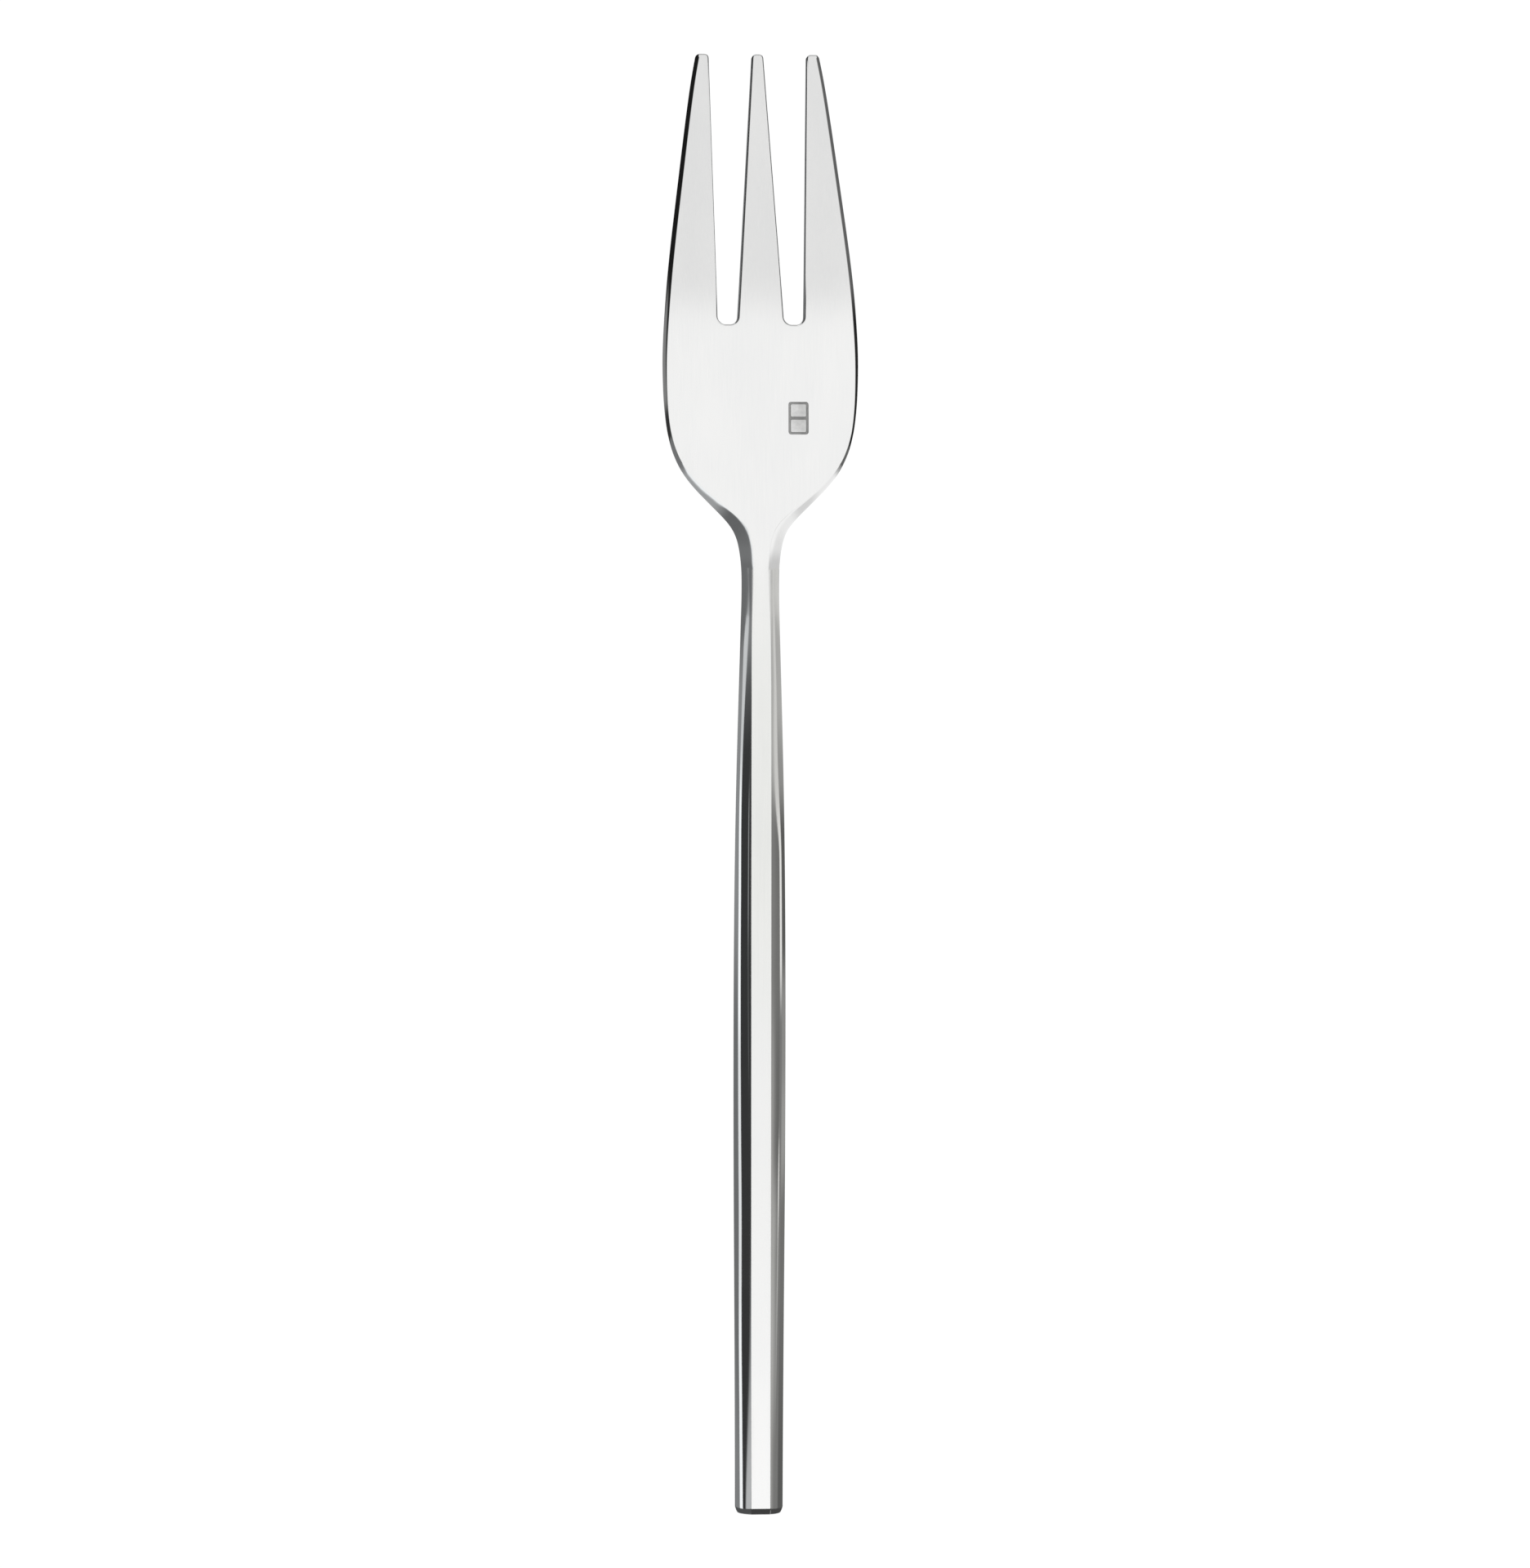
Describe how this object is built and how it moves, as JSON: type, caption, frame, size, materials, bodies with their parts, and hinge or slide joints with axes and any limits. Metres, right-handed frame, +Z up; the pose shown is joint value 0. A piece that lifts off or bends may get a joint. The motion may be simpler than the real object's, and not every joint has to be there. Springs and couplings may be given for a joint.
{
  "type": "pastry fork",
  "caption": "Slim polished-steel pastry fork: flat tined head with wide shoulders on a narrow hollow handle with a flat along its back and front and bowed flanks, for eating cake.",
  "frame": {"origin": "bottom centre of the bounding box: on the surface the fork lies on, midway between butt and tine tips, on its plane of symmetry", "axes": "+Y along the fork from the butt of the handle to the tine tips, +Z up from the surface through the back of the fork, X across"},
  "size_m": [0.0202, 0.15, 0.0056],
  "materials": {
    "polished_steel": "polished",
    "cement_filler": "matte"
  },
  "bodies": {
    "root": {"fork_head": "polished_steel", "handle_upper_shell": "polished_steel", "handle_lower_shell": "polished_steel", "end_cap": "polished_steel", "handle_filler": "cement_filler"}
  },
  "joints": []
}
